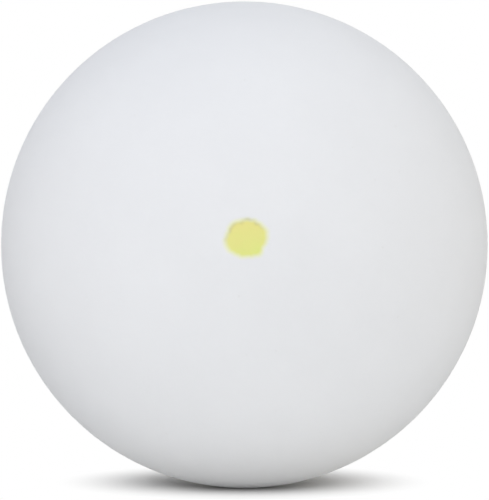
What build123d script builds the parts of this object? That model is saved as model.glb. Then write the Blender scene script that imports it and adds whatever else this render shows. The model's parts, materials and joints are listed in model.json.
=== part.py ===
from build123d import *
import os
from math import asin, cos, degrees, radians, sin

# A squash ball, built as it is made: two rubber half shells out of one mould are cemented rim to rim, the closed
# ball is buffed round, and a speed dot is printed on one side. It is hollow, and holds nothing but air.
# Frame: the origin is the ball's centre, +Z is up and -Y is the printed side. The moulding axis lies along Y,
# so the half shells meet in the parting plane y = 0. Sizes are in millimetres, angles in degrees.

# Driving dimensions
BALL_DIAMETER = 40.0  # the rules of the game allow 39.5 to 40.5
WALL_THICKNESS = 5.2  # with a filled rubber of 1.2 g/cm3, this brings the ball to the 24 g of the rules
RIM_BEVEL = 0.6  # inner edge of each rim, broken when the rim is roughened for the cement
CEMENT_THICKNESS = 0.15  # cured film between the two rims
BEAD_CROWN = 0.4  # how far the squeezed-out cement stands in from the cavity wall
SEAM_RECESS = 0.02  # how far buffing leaves the softer cement below the rubber
DOT_WIDTH = 3.05
DOT_HEIGHT = 2.8
DOT_ELEVATION = 1.25  # the dot's centre above the horizontal, as the ball lies
INK_THICKNESS = 0.04

# Places that follow from them
ball_radius = BALL_DIAMETER / 2
cavity_radius = ball_radius - WALL_THICKNESS
rim_height = CEMENT_THICKNESS / 2  # each rim stands this far from the parting plane
bevel_height = rim_height + RIM_BEVEL  # the bevel meets the cavity wall this far from it


def meridian(radius, height):
    """A circle's arc about the ball's centre, from that height above the parting plane up to the pole."""
    start_angle = degrees(asin(height / radius))
    return CenterArc((0, 0), radius, start_angle, 90 - start_angle)


def half_shell():
    """One moulding: a thick round cup with a flat rim, its crown towards +Y."""
    outside = meridian(ball_radius, rim_height)
    inside = meridian(cavity_radius, bevel_height)
    rim_inner_edge = (inside @ 0) + (RIM_BEVEL, -RIM_BEVEL)
    crown = Line(outside @ 1, inside @ 1)
    rim = Polyline(inside @ 0, rim_inner_edge, outside @ 0)
    return revolve(make_face(outside + crown + inside + rim), Axis.Y)


def cement_ring():
    """The cured cement: a flat film between the rims, which swells into the bead squeezed out inside."""
    outer_edge = meridian(ball_radius - SEAM_RECESS, rim_height) @ 0
    bead_edge = meridian(cavity_radius, bevel_height) @ 0
    film_inner_edge = bead_edge + (RIM_BEVEL, -RIM_BEVEL)
    face_on_rear_rim = Polyline(outer_edge, film_inner_edge, bead_edge)
    face_on_front_rim = mirror(face_on_rear_rim, Plane.XZ)
    buffed_edge = ThreePointArc(face_on_front_rim @ 0, (ball_radius - SEAM_RECESS, 0), outer_edge)
    bead = ThreePointArc(bead_edge, (cavity_radius - BEAD_CROWN, 0), face_on_front_rim @ 1)
    return revolve(make_face(face_on_rear_rim + bead + face_on_front_rim + buffed_edge), Axis.Y)


def ink_dot():
    """The printed dot: an oval film of even thickness that follows the ball's surface."""
    elevation = radians(DOT_ELEVATION)
    facing = Plane(origin=(0, 0, 0), x_dir=(1, 0, 0), z_dir=(0, -cos(elevation), sin(elevation)))
    printing_column = extrude(facing * Ellipse(DOT_WIDTH / 2, DOT_HEIGHT / 2), BALL_DIAMETER)
    return (Sphere(ball_radius + INK_THICKNESS) - Sphere(ball_radius)) & printing_column


moulding = half_shell()
pieces = {
    "rear_half_shell": moulding,
    "front_half_shell": Rot(Z=180) * moulding,
    "seam_cement": cement_ring(),
    "yellow_dot": ink_dot(),
}

os.makedirs("parts", exist_ok=True)
for node, piece in pieces.items():
    export_step(piece, f"parts/{node}.step")
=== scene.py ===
import json
import math

import bpy
import numpy as np
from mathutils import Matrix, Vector


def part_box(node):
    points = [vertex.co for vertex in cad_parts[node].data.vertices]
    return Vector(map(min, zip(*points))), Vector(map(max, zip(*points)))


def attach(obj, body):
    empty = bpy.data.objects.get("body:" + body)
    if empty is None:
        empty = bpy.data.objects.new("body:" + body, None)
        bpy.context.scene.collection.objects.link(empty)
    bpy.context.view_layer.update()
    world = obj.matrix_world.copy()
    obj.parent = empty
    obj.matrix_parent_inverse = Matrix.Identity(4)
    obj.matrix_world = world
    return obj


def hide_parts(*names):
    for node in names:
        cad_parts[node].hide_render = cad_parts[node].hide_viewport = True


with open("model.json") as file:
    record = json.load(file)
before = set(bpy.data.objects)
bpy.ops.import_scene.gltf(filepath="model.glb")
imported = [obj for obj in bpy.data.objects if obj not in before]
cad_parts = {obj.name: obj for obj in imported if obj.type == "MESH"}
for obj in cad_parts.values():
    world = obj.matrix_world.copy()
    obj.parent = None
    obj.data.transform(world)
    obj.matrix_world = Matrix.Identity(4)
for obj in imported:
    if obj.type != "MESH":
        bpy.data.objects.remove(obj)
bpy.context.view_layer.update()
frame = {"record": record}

# Half shells: the two thick cups of filled white rubber that make the ball, out of one mould.
# Their rims are roughened and cemented together, and the closed ball is then buffed all over,
# which leaves a matte skin, a very slight unevenness and a softened edge along the seam.

MM = 0.001
rim_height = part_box("rear_half_shell")[0].y  # each rim stops this far from the parting plane
ball_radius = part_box("rear_half_shell")[1].y
WALL = 5.2 * MM
RIM_BEVEL = 0.6 * MM  # on the inner edge of the rim
SEAM_ROUND = 0.12 * MM  # buffed round on the outer edge of the rim
cavity_radius = ball_radius - WALL
bevel_height = rim_height + RIM_BEVEL

BUFFING_DEPTH = 0.02 * MM
BUFFING_WAVES = 12
BUFFING_LENGTHS = (4.0 * MM, 9.0 * MM)  # of the shortest and the longest wave
BUFFING_SEED = 40
SEAM_BAND = 2.0 * MM  # the buffing eases off this close to the rim, so that the two rims stay level

SHELL_COLUMNS = 320
OUTSIDE_ROWS = 80
ROUND_ROWS = 7
RIM_ROWS = 6
BEVEL_ROWS = 3
CAVITY_ROWS = 32
CREASE = math.radians(35)  # an edge that turns by more than this stays sharp

slot_colour = {slot["slot"]: slot["base_color"] for slot in frame["record"]["materials"]}
RUBBER_WHITE = slot_colour["white_rubber"]
RUBBER_SHADE = (0.805, 0.825, 0.855)
# painted shade: the colour that darkens the rubber in the pits
PIT_PAINTED_SHADE = (0.79, 0.81, 0.835)
RUBBER_SKIN = (0.28 * MM, 7.0 * MM, 1.5 * MM)  # size of grain, size of clouds, spacing of the pits' cells
RUBBER_ROUGHNESS = (0.62, 0.80)  # from the bottom of the grain to its top
RUBBER_RELIEF = 0.03 * MM
PIT_WALL = (0.03, 0.09)  # a pit's floor and brim, as distances from its middle in shares of the spacing
PIT_CELLS = (0.62, 0.66)  # of a cell's random grey: no pit below the first, a whole pit above the second


def arc(centre, radius, start, end, count):
    """Points of a circle's arc from one angle to another, as rows of (out from the axis, along the axis)."""
    angle = np.linspace(start, end, count)
    return np.stack([centre[0] + radius * np.cos(angle), centre[1] + radius * np.sin(angle)], axis=-1)


def shell_section():
    """Half section of a cup, from its crown down the outside, round the buffed edge, in along the rim
    and up the bevel and the cavity wall to the inner crown."""
    top = math.pi / 2
    round_start = math.asin((rim_height + SEAM_ROUND) / ball_radius)
    outside = arc((0, 0), ball_radius, top, round_start, OUTSIDE_ROWS)
    edge = arc(outside[-1] - (SEAM_ROUND, 0), SEAM_ROUND, 0, -top, ROUND_ROWS)[1:]
    cavity = arc((0, 0), cavity_radius, math.asin(bevel_height / cavity_radius), top, CAVITY_ROWS)
    bevel_end = cavity[0] + (RIM_BEVEL, -RIM_BEVEL)
    rim = np.linspace(edge[-1], bevel_end, RIM_ROWS)[1:]
    bevel = np.linspace(bevel_end, cavity[0], BEVEL_ROWS)[1:-1]
    return np.concatenate([outside, edge, rim, bevel, cavity])


def around_axis(out, along, turn):
    """Points that far out from the moulding axis and that far along it, carried round it by each turn."""
    out, along, turn = np.broadcast_arrays(out, along, turn)
    return np.stack([out * np.cos(turn), along, out * np.sin(turn)], axis=-1)


def buffed(points, depth):
    """Points of the ball's skin, drawn in towards its centre where the buffing wheel cut deeper: by a share
    of the depth that is the mean of plane waves, run through the ball in seeded directions, so that it flows
    over the skin with no pole or seam."""
    draw = np.random.default_rng(BUFFING_SEED)
    waves = draw.normal(size=(BUFFING_WAVES, 3))
    waves /= np.linalg.norm(waves, axis=1, keepdims=True)
    waves *= math.tau / draw.uniform(*BUFFING_LENGTHS, size=(BUFFING_WAVES, 1))
    phases = draw.uniform(0, math.tau, size=BUFFING_WAVES)
    cut = 0.5 + 0.5 * np.sin(points @ waves.T + phases).mean(axis=-1, keepdims=True)
    return points * (1 - cut * depth / ball_radius)


def shell_points(facing):
    """The section carried round the moulding axis, with its outside buffed; facing is 1 for the cup whose
    crown is at +Y, -1 for the other."""
    section = shell_section()
    out, along = section[:, :1], section[:, 1:]
    turn = np.linspace(0, math.tau, SHELL_COLUMNS, endpoint=False) * facing
    points = around_axis(out, facing * along, turn)
    from_rim = (along[:OUTSIDE_ROWS, :, None] - rim_height) / SEAM_BAND
    points[:OUTSIDE_ROWS] = buffed(points[:OUTSIDE_ROWS], BUFFING_DEPTH * np.clip(from_rim, 0, 1))
    return points


def place(mesh):
    """Puts a mesh into the scene, as an object of the same name."""
    piece = bpy.data.objects.new(mesh.name, mesh)
    bpy.context.scene.collection.objects.link(piece)
    return piece


def piece_from_grid(name, points, rows_close=False):
    """A mesh over a grid of points whose columns go right round, one quad to a cell. The first and last
    rows are poles, each merged into one point with a fan of triangles, unless the rows close as well."""
    columns = points.shape[1]
    if rows_close:
        corners = points.reshape(-1, 3)
        row = np.arange(len(corners)).reshape(-1, columns)
        row = np.concatenate([row, row[:1]])
        fans = []
    else:
        corners = np.concatenate([points[0, :1], points[1:-1].reshape(-1, 3), points[-1, :1]])
        row = np.arange(1, len(corners) - 1).reshape(-1, columns)
        first, last = row[0], row[-1]
        fans = np.stack([np.zeros_like(first), np.roll(first, -1), first], axis=-1).tolist()
        fans += np.stack([np.full_like(last, len(corners) - 1), last, np.roll(last, -1)], axis=-1).tolist()
    beside = np.roll(row, -1, axis=1)
    quads = np.stack([row[:-1], beside[:-1], beside[1:], row[1:]], axis=-1).reshape(-1, 4).tolist()
    mesh = bpy.data.meshes.new(name)
    mesh.from_pydata(corners, [], quads + fans)
    mesh.shade_smooth()
    mesh.set_sharp_from_angle(angle=CREASE)
    return place(mesh)


def add(tree, kind, **inputs):
    """Adds a shader node. Each keyword names an input, with _ for a space, and gives its value or link."""
    new = tree.nodes.new(kind)
    for name, value in inputs.items():
        socket = new.inputs[name.replace("_", " ")]
        if isinstance(value, bpy.types.NodeSocket):
            tree.links.new(value, socket)
        else:
            socket.default_value = value
    return new


def ramp(tree, factor, stops):
    """A colour ramp over a factor, from (position, colour) stops."""
    new = add(tree, "ShaderNodeValToRGB", Fac=factor)
    elements = new.color_ramp.elements
    elements[0].position, elements[-1].position = stops[0][0], stops[-1][0]
    for position, _ in stops[1:-1]:
        elements.new(position)
    for element, (_, colour) in zip(elements, stops):
        element.color = (*colour, 1)
    return new.outputs["Color"]


def mix(tree, factor, first, second):
    """Colour that goes from the first to the second with a factor of 0 to 1."""
    return add(tree, "ShaderNodeMixRGB", Fac=factor, Color1=first, Color2=second).outputs["Color"]


def combine(tree, operation, first, second):
    """A math node over two linked values."""
    new = tree.nodes.new("ShaderNodeMath")
    new.operation = operation
    tree.links.new(first, new.inputs[0])
    tree.links.new(second, new.inputs[1])
    return new.outputs["Value"]


def make_buffed_grain():
    """Node group for the skin of rubber that was buffed. Height is the fine grain, Cloud the slow change
    from one stretch of the skin to the next, and Pits the few small pits left by dust in the mould, each
    0 to 1."""
    group = bpy.data.node_groups.new("buffed_grain", "ShaderNodeTree")
    sockets = group.interface
    sockets.new_socket("Coordinates", in_out="INPUT", socket_type="NodeSocketVector")
    for name in ("Grain Scale", "Cloud Scale", "Pit Scale"):
        sockets.new_socket(name, in_out="INPUT", socket_type="NodeSocketFloat")
    for name in ("Height", "Cloud", "Pits"):
        sockets.new_socket(name, in_out="OUTPUT", socket_type="NodeSocketFloat")
    given = group.nodes.new("NodeGroupInput").outputs
    grain = add(group, "ShaderNodeTexNoise", Vector=given["Coordinates"], Scale=given["Grain Scale"],
                Detail=4.0, Roughness=0.65)
    cloud = add(group, "ShaderNodeTexNoise", Vector=given["Coordinates"], Scale=given["Cloud Scale"],
                Detail=3.0, Roughness=0.55)
    cells = add(group, "ShaderNodeTexVoronoi", Vector=given["Coordinates"], Scale=given["Pit Scale"])
    hollow = add(group, "ShaderNodeMapRange", Value=cells.outputs["Distance"],
                 From_Min=PIT_WALL[0], From_Max=PIT_WALL[1], To_Min=1.0, To_Max=0.0)
    few = add(group, "ShaderNodeMapRange", Value=cells.outputs["Color"],
              From_Min=PIT_CELLS[0], From_Max=PIT_CELLS[1])
    pits = combine(group, "MULTIPLY", hollow.outputs["Result"], few.outputs["Result"])
    result = group.nodes.new("NodeGroupOutput").inputs
    group.links.new(grain.outputs["Fac"], result["Height"])
    group.links.new(cloud.outputs["Fac"], result["Cloud"])
    group.links.new(pits, result["Pits"])
    return group


def object_coordinates(tree):
    """Each point's place on the piece itself."""
    return tree.nodes.new("ShaderNodeTexCoord").outputs["Object"]


def place_grain(tree, grain_size, cloud_size, pit_spacing):
    """Places the buffed skin in a material, on the piece's own coordinates, and gives its outputs."""
    grain = tree.nodes.new("ShaderNodeGroup")
    grain.node_tree = buffed_grain
    grain.inputs["Grain Scale"].default_value = 1 / grain_size
    grain.inputs["Cloud Scale"].default_value = 1 / cloud_size
    grain.inputs["Pit Scale"].default_value = 1 / pit_spacing
    tree.links.new(object_coordinates(tree), grain.inputs["Coordinates"])
    return grain.outputs


def new_finish(name):
    """A new material, with its node tree and its shader."""
    finish = bpy.data.materials.new(name)
    finish.use_nodes = True
    return finish, finish.node_tree, finish.node_tree.nodes["Principled BSDF"]


def roughen(tree, shader, factor, first, last):
    """Roughness that goes from the first value to the last with a factor of 0 to 1."""
    roughness = add(tree, "ShaderNodeMapRange", Value=factor, To_Min=first, To_Max=last)
    tree.links.new(roughness.outputs["Result"], shader.inputs["Roughness"])


def emboss(tree, shader, height, depth):
    """Fine relief from a height of 0 to 1, that depth in all, at half strength."""
    relief = add(tree, "ShaderNodeBump", Height=height, Strength=0.5, Distance=depth)
    tree.links.new(relief.outputs["Normal"], shader.inputs["Normal"])


def dull(shader):
    """Takes most of the shine off a shader and flattens its shading a little, for a matte skin."""
    shader.inputs["Diffuse Roughness"].default_value = 0.3
    shader.inputs["Specular IOR Level"].default_value = 0.25


def rubber_tone(tree, skin):
    """Colour of the bare rubber: a white that drifts by a percent or so, with painted shade a little darker
    in the pits.
    """
    drift = ramp(tree, skin["Cloud"], [(0.30, RUBBER_SHADE), (0.70, RUBBER_WHITE)])
    return mix(tree, skin["Pits"], drift, (*PIT_PAINTED_SHADE, 1))


def make_white_rubber():
    """Matte white rubber, whose grain breaks up what little it shines."""
    finish, tree, shader = new_finish("white_rubber_buffed")
    skin = place_grain(tree, *RUBBER_SKIN)
    tree.links.new(rubber_tone(tree, skin), shader.inputs["Base Color"])
    roughen(tree, shader, skin["Height"], *RUBBER_ROUGHNESS)
    emboss(tree, shader, combine(tree, "SUBTRACT", skin["Height"], skin["Pits"]), RUBBER_RELIEF)
    dull(shader)
    return finish


buffed_grain = make_buffed_grain()
white_rubber = make_white_rubber()
for name, facing in (("rear_half_shell", 1), ("front_half_shell", -1)):
    shell = piece_from_grid(f"buffed_{name}", shell_points(facing))
    shell.data.materials.append(white_rubber)
    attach(shell, "root")
    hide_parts(name)

# Seam cement: the cured film of rubber cement between the two rims, with the bead that was squeezed
# out into the cavity. Buffing leaves its outer edge a little below the rubber, as one fine line.

SEAM_RECESS = 0.02 * MM
BEAD_CROWN = 0.4 * MM  # how far the bead stands in from the cavity wall
BEAD_UNEVEN = 0.12  # share of the crown by which the bead varies round the ring
BEAD_WAVES = ((3, 0), (7, 2), (11, 4))  # how often each wave goes up and down round the ring, and its phase
BEAD_ROWS = 11
CEMENT_CREAM = slot_colour["rubber_cement"]
CEMENT_DUSTY = (0.66, 0.64, 0.57)
CEMENT_SKIN = (0.4 * MM, 2.0 * MM, 1.4 * MM)
CEMENT_ROUGHNESS = (0.75, 0.45)  # where it is dusty and where it is clean
CEMENT_RELIEF = 0.03 * MM
CEMENT_SHINE = 0.4


def cement_points():
    """The film's section, swept round the moulding axis: out along one rim, over the buffed edge, back along
    the other rim, and round the bead, whose crown swells and thins with three slow waves."""
    turn = np.linspace(0, -math.tau, SHELL_COLUMNS, endpoint=False)  # so that the faces point outwards
    outer_edge = ball_radius - SEAM_RECESS
    cavity_edge = math.sqrt(cavity_radius**2 - bevel_height**2)
    bevel = np.linspace((cavity_edge, -bevel_height), (cavity_edge + RIM_BEVEL, -rim_height), BEVEL_ROWS)
    rim = np.linspace(bevel[-1], (outer_edge, -rim_height), RIM_ROWS)[1:]
    face = np.concatenate([bevel, rim])
    film = np.concatenate([face, [(outer_edge, 0)], face[::-1] * (1, -1)])
    across = np.linspace(1, -1, BEAD_ROWS)[1:-1]
    waves = np.mean([np.sin(count * turn + phase) for count, phase in BEAD_WAVES], axis=0)
    bead = cavity_edge - BEAD_CROWN * (1 - across**2)[:, None] * (1 + BEAD_UNEVEN * waves)
    out = np.concatenate([np.repeat(film[:, :1], SHELL_COLUMNS, axis=1), bead])
    along = np.concatenate([film[:, 1], bevel_height * across])
    return around_axis(out, along[:, None], turn)


def make_cured_cement():
    """Cured rubber cement: a cream, slightly waxy film, duller where it took up dust from the buffing."""
    finish, tree, shader = new_finish("cured_cement")
    film = place_grain(tree, *CEMENT_SKIN)
    tone = ramp(tree, film["Cloud"], [(0.35, CEMENT_DUSTY), (0.65, CEMENT_CREAM)])
    tree.links.new(tone, shader.inputs["Base Color"])
    roughen(tree, shader, film["Cloud"], *CEMENT_ROUGHNESS)
    emboss(tree, shader, film["Height"], CEMENT_RELIEF)
    shader.inputs["Specular IOR Level"].default_value = CEMENT_SHINE
    return finish


seam = piece_from_grid("cured_seam", cement_points(), rows_close=True)
seam.data.materials.append(make_cured_cement())
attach(seam, "root")
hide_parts("seam_cement")

# Printed dot: the speed mark, a dab of yellow ink pressed on to the front shell and dried as a film.
# It is an uneven round. The ink ran out thin all along its edge, and as it dried it left a raised rim in
# places, most of all along the top. Painted shade darkens the ink along that rim.

dot_low, dot_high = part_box("yellow_dot")
dot_centre = (dot_low + dot_high).normalized()
dot_half_width = (dot_high.x - dot_low.x) / 2
dot_half_height = (dot_high.z - dot_low.z) / 2 / math.hypot(dot_centre.x, dot_centre.y)
INK_FILM = 0.022 * MM
INK_SUNK = 0.008 * MM  # how far the film's underside lies in the rubber's grain
INK_REACH = 1.19  # how far the thinned ink runs out, as a share of the printed oval
INK_THINNING = 0.34  # share of that reach over which it thins
DOT_COLUMNS = 180
DOT_ROWS = 40
RAGGEDNESS = 0.05  # of the edge, as a share of the radius
RAGGED_WAVES = range(9, 24)  # how often each wave of the edge goes in and out round the dot
RAGGED_SEED = 5
DOT_LOBES = (  # bearing from the right, swell as a share of the radius, and spread, with angles in degrees
    (30, 0.115, 24),
    (70, 0.080, 20),
    (105, 0.055, 16),
    (132, 0.110, 17),
    (193, 0.105, 19),
    (216, 0.070, 10),
    (274, -0.040, 9),
    (314, 0.120, 15),
    (328, -0.110, 13),
)
RIM_STRETCHES = (  # bearing, share of the reach at which the rim lies, darkness of its painted shade, and spread
    (42, 0.75, 0.14, 12),
    (60, 0.73, 0.26, 9),
    (85, 0.83, 0.36, 17),
    (106, 0.71, 0.20, 9),
    (128, 0.75, 0.20, 12),
    (150, 0.75, 0.28, 13),
    (178, 0.81, 0.20, 15),
)
RIM_WIDTH = 0.075
RIM_RISE = 0.8  # how much the darkest rim would add to the film, as a share of it
INK_YELLOW = slot_colour["yellow_ink"]
INK_WARM = (0.800, 0.757, 0.283)
INK_GREEN = (0.748, 0.815, 0.270)
INK_THIN = (0.822, 0.858, 0.360)
# painted shade along the ink's rim, darkest along the top
RIM_SHADE_COLOUR = (0.40, 0.39, 0.25)
INK_FULL = (0.45, 0.95)  # between these shares of cover, the colour goes from thin to full
INK_DRIFT = math.radians(-72)  # the ink turns from warm to green this way, down and slightly to the right
INK_BLOTCHES = 0.25  # share of the colour that follows the blotches and not the drift
INK_SKIN = (0.28 * MM, 1.0 * MM, 1.4 * MM)
INK_ROUGHNESS = (0.55, 0.70)
INK_RELIEF = 0.02 * MM


def swell(turn, bearing, spread):
    """A round bump of height 1 at that bearing round the dot; bearing and spread are in degrees."""
    away = np.angle(np.exp(1j * (turn - math.radians(bearing))))
    return np.exp(-((away / math.radians(spread)) ** 2))


def dot_outline(turn):
    """The dab's edge, as a share of the oval's radius: the ink's reach with the lobes on it, and a fine
    ragged edge of seeded waves."""
    draw = np.random.default_rng(RAGGED_SEED)
    counts = np.array(RAGGED_WAVES)[:, None]
    ragged = np.sin(counts * turn + draw.uniform(0, math.tau, size=counts.shape)).mean(axis=0)
    lobes = sum(size * swell(turn, bearing, spread) for bearing, size, spread in DOT_LOBES)
    return INK_REACH + RAGGEDNESS * ragged + lobes


def ink_cover(share):
    """How far the ink covers the rubber: all of it, falling to nothing at the edge on a smooth step."""
    fall = np.clip((1 - share) / INK_THINNING, 0, 1)
    return fall * fall * (3 - 2 * fall)


def rim_ridge_and_shade(share, turn):
    """Strength of the rim's ridge and of its painted shade: narrow round ridges near the edge, in stretches
    that fade out.
    """
    return sum(
        dark * swell(turn, bearing, spread) * np.exp(-(((share - ridge) / RIM_WIDTH) ** 2))
        for bearing, ridge, dark, spread in RIM_STRETCHES
    )


def dot_points(share, turn, lift):
    """The dab's points on the ball: the outline is laid on the plane that faces the dot, scaled by each
    share, carried straight in to the buffed skin, then lifted along the ball's radius."""
    centre = np.array(dot_centre)
    right = np.array((1, 0, 0))
    up = np.cross(right, -centre)
    reach = share * dot_outline(turn)
    flat = (reach * dot_half_width * np.cos(turn))[..., None] * right
    flat = flat + (reach * dot_half_height * np.sin(turn))[..., None] * up
    depth = np.sqrt(ball_radius**2 - (flat**2).sum(axis=-1, keepdims=True))
    return buffed(flat + depth * centre, BUFFING_DEPTH) * (1 + np.asarray(lift)[..., None] / ball_radius)


def set_values(piece, name, top_rows):
    """Gives each point of the dab a value, from the rows of its top, which the underside repeats inwards."""
    rows = np.concatenate([top_rows, top_rows[-2::-1]])
    values = np.concatenate([rows[0, :1], rows[1:-1].ravel(), rows[-1, :1]])
    piece.data.attributes.new(name, "FLOAT", "POINT").data.foreach_set("value", values.astype(np.float32))


def read_values(tree, name):
    """The value of that name at each point of the dab."""
    new = tree.nodes.new("ShaderNodeAttribute")
    new.attribute_name = name
    return new.outputs["Fac"]


def ink_drift(tree):
    """How far a point lies along the line on which the ink's colour drifts, 0 to 1 over the dab's width."""
    middle = -math.sin(INK_DRIFT) * dot_centre.z * ball_radius
    turned = add(tree, "ShaderNodeMapping", Vector=object_coordinates(tree),
                 Location=(middle, 0, 0), Rotation=(0, INK_DRIFT, 0))
    along = add(tree, "ShaderNodeSeparateXYZ", Vector=turned.outputs["Vector"]).outputs["X"]
    drift = add(tree, "ShaderNodeMapRange", Value=along, From_Min=-dot_half_width, From_Max=dot_half_width)
    return drift.outputs["Result"]


def make_yellow_ink():
    """Dried yellow ink: warmer towards the top and greener towards the bottom, paler where the film thins
    out and the white rubber shows through, and darkened by painted shade along the rim."""
    finish, tree, shader = new_finish("yellow_ink_print")
    cover = read_values(tree, "ink_cover")
    skin = place_grain(tree, *RUBBER_SKIN)
    film = place_grain(tree, *INK_SKIN)
    drift = ramp(tree, ink_drift(tree), [(0.1, INK_WARM), (0.5, INK_YELLOW), (0.9, INK_GREEN)])
    blotches = ramp(tree, film["Cloud"], [(0.3, INK_WARM), (0.7, INK_GREEN)])
    full = add(tree, "ShaderNodeMapRange", Value=cover, From_Min=INK_FULL[0], From_Max=INK_FULL[1])
    ink = mix(tree, full.outputs["Result"], (*INK_THIN, 1), mix(tree, INK_BLOTCHES, drift, blotches))
    tone = mix(tree, cover, rubber_tone(tree, skin), ink)
    # painted shade along the rim, darkest along the top
    tone = mix(tree, read_values(tree, "rim_ridge_and_shade"), tone, (*RIM_SHADE_COLOUR, 1))
    tree.links.new(tone, shader.inputs["Base Color"])
    roughen(tree, shader, film["Height"], *INK_ROUGHNESS)
    emboss(tree, shader, film["Height"], INK_RELIEF)
    dull(shader)
    return finish


turn = np.linspace(0, -math.tau, DOT_COLUMNS, endpoint=False)  # so that the faces point outwards
share = np.sin(np.linspace(0, math.pi / 2, DOT_ROWS))[:, None]  # of the way out, closer towards the edge
cover = np.repeat(ink_cover(share), DOT_COLUMNS, axis=1)
rim = rim_ridge_and_shade(share, turn)
thickness = INK_FILM * cover * (1 + RIM_RISE * rim)
film_top = dot_points(share, turn, thickness - INK_SUNK * (share == 1))
film_under = dot_points(share[-2::-1], turn, -INK_SUNK)
dot = piece_from_grid("printed_dot", np.concatenate([film_top, film_under]))
set_values(dot, "ink_cover", cover)
set_values(dot, "rim_ridge_and_shade", rim)
dot.data.materials.append(make_yellow_ink())
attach(dot, "root")
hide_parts("yellow_dot")

# Floor: the white table top that the ball lies on. It lights the ball plainly from below and takes its
# shadow. As in a retouched packshot, the camera sees that shadow deepened, and the floor fade into the
# white backdrop outside it.

FLOOR_SIZE = 0.6  # metres
FLOOR_WHITE = (0.965, 0.955, 0.925, 1)
FLOOR_SEEN = (0.6, 0.6, 0.6, 1)  # what the camera sees of the floor's colour, which deepens the shadow
BACKDROP_WHITE = (1, 1, 1, 1)
SHADOW_MIDDLE = (0, 5.0 * MM, -ball_radius)  # the shadow falls back from the point that the ball lies on
FADE_START = 5.0 * MM  # from that middle
FADE_END = 16.0 * MM


def seen_directly(tree):
    """1 for what the camera sees, directly, mirrored or through glass, and 0 for light that bounces."""
    path = tree.nodes.new("ShaderNodeLightPath").outputs
    mirrored = combine(tree, "MAXIMUM", path["Is Glossy Ray"], path["Is Transmission Ray"])
    return combine(tree, "MAXIMUM", path["Is Camera Ray"], mirrored)


def make_table_top():
    """White table top. The camera sees it grey in the shadow, and as the backdrop's plain white outside."""
    finish, tree, shader = new_finish("white_table_top")
    tree.nodes.remove(shader)
    seen = seen_directly(tree)
    lit = add(tree, "ShaderNodeBsdfDiffuse", Color=mix(tree, seen, FLOOR_WHITE, FLOOR_SEEN))
    plain = add(tree, "ShaderNodeEmission", Color=BACKDROP_WHITE, Strength=1.0)
    from_shadow = add(tree, "ShaderNodeVectorMath", Vector=object_coordinates(tree))
    from_shadow.operation = "DISTANCE"
    from_shadow.inputs[1].default_value = SHADOW_MIDDLE
    fade = add(tree, "ShaderNodeMapRange", Value=from_shadow.outputs["Value"],
               From_Min=FADE_START, From_Max=FADE_END)
    fade.interpolation_type = "SMOOTHSTEP"
    faded = combine(tree, "MULTIPLY", fade.outputs["Result"], seen)
    surface = add(tree, "ShaderNodeMixShader", Fac=faded)
    tree.links.new(lit.outputs["BSDF"], surface.inputs[1])
    tree.links.new(plain.outputs["Emission"], surface.inputs[2])
    tree.links.new(surface.outputs["Shader"], tree.nodes["Material Output"].inputs["Surface"])
    return finish


half = FLOOR_SIZE / 2
floor_mesh = bpy.data.meshes.new("studio_floor")
floor_corners = [(x * half, y * half, -ball_radius) for x, y in ((-1, -1), (1, -1), (1, 1), (-1, 1))]
floor_mesh.from_pydata(floor_corners, [], [(0, 1, 2, 3)])
floor_mesh.materials.append(make_table_top())
floor = place(floor_mesh)

# Light: five softboxes round the table, in front of a white backdrop that only shows and gives no light.
# The one overhead is cooler than the others and the one on the right a little warmer. The one at the back
# is small and low, so that it lights the far side and hardly any of what is seen from the front.

LAMP_DISTANCE = 0.5  # metres

backdrop = bpy.data.worlds.new("white_backdrop")
backdrop.use_nodes = True
background = backdrop.node_tree.nodes["Background"].inputs
background["Color"].default_value = BACKDROP_WHITE
backdrop.node_tree.links.new(seen_directly(backdrop.node_tree), background["Strength"])
bpy.context.scene.world = backdrop


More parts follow.
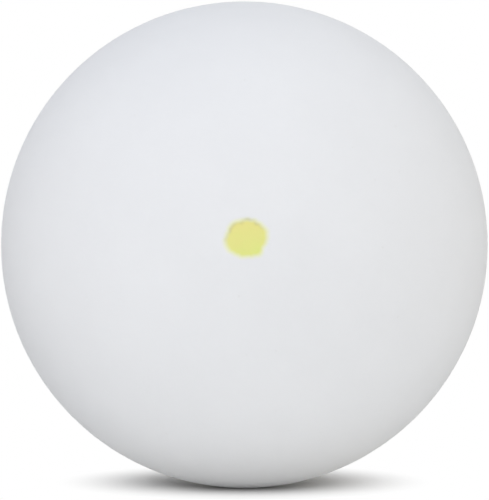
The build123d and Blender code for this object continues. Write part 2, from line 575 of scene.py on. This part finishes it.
def softbox(name, bearing, elevation, size, watts, colour):
    """A square soft lamp aimed at the ball. Its bearing goes from the front to the right and its elevation
    up from level, in degrees."""
    lamp = bpy.data.lights.new(name, "AREA")
    lamp.size = size
    lamp.energy = watts
    lamp.color = colour
    box = bpy.data.objects.new(name, lamp)
    across, up = math.radians(bearing), math.radians(elevation)
    way = Vector((math.sin(across) * math.cos(up), -math.cos(across) * math.cos(up), math.sin(up)))
    box.location = way * LAMP_DISTANCE
    box.rotation_euler = (-way).to_track_quat("-Z", "Y").to_euler()
    bpy.context.scene.collection.objects.link(box)


softbox("front_softbox", bearing=0, elevation=15, size=0.3, watts=1.22, colour=(1.0, 0.985, 0.98))
softbox("left_softbox", bearing=-60, elevation=40, size=0.6, watts=1.27, colour=(1.0, 0.975, 0.965))
softbox("right_softbox", bearing=90, elevation=30, size=0.6, watts=1.32, colour=(1.0, 0.95, 0.87))
softbox("overhead_softbox", bearing=0, elevation=90, size=0.6, watts=0.70, colour=(0.72, 0.83, 1.0))
softbox("back_softbox", bearing=180, elevation=3, size=0.1, watts=1.15, colour=(1.0, 0.98, 0.95))

# Camera: a long lens level with the ball's middle, ten ball radii away, with the ball filling the frame.
# It stands very slightly to the left of straight in front.

FRAME_PIXELS = 500  # the longer side of the picture
BALL_PIXELS = 243.4  # the ball's radius in the picture
BALL_ABOVE_MIDDLE = 5.23  # pixels
BALL_LEFT_OF_MIDDLE = 0.13  # pixels
VIEW_BEARING = math.radians(-0.46)  # from straight in front, to the left
view_distance = 10 * ball_radius
focal_pixels = BALL_PIXELS * math.sqrt(view_distance**2 - ball_radius**2) / ball_radius
metres_per_pixel = view_distance / focal_pixels

lens = bpy.data.cameras.new("long_lens")
lens.lens = lens.sensor_width * focal_pixels / FRAME_PIXELS
lens.clip_start = ball_radius / 2
camera = bpy.data.objects.new("camera", lens)
bpy.context.scene.collection.objects.link(camera)
camera.location = view_distance * Vector((math.sin(VIEW_BEARING), -math.cos(VIEW_BEARING), 0))
aim = Vector((BALL_LEFT_OF_MIDDLE, 0, -BALL_ABOVE_MIDDLE)) * metres_per_pixel
camera.rotation_euler = (aim - camera.location).to_track_quat("-Z", "Y").to_euler()
bpy.context.scene.camera = camera
bpy.context.scene.view_settings.view_transform = "Standard"
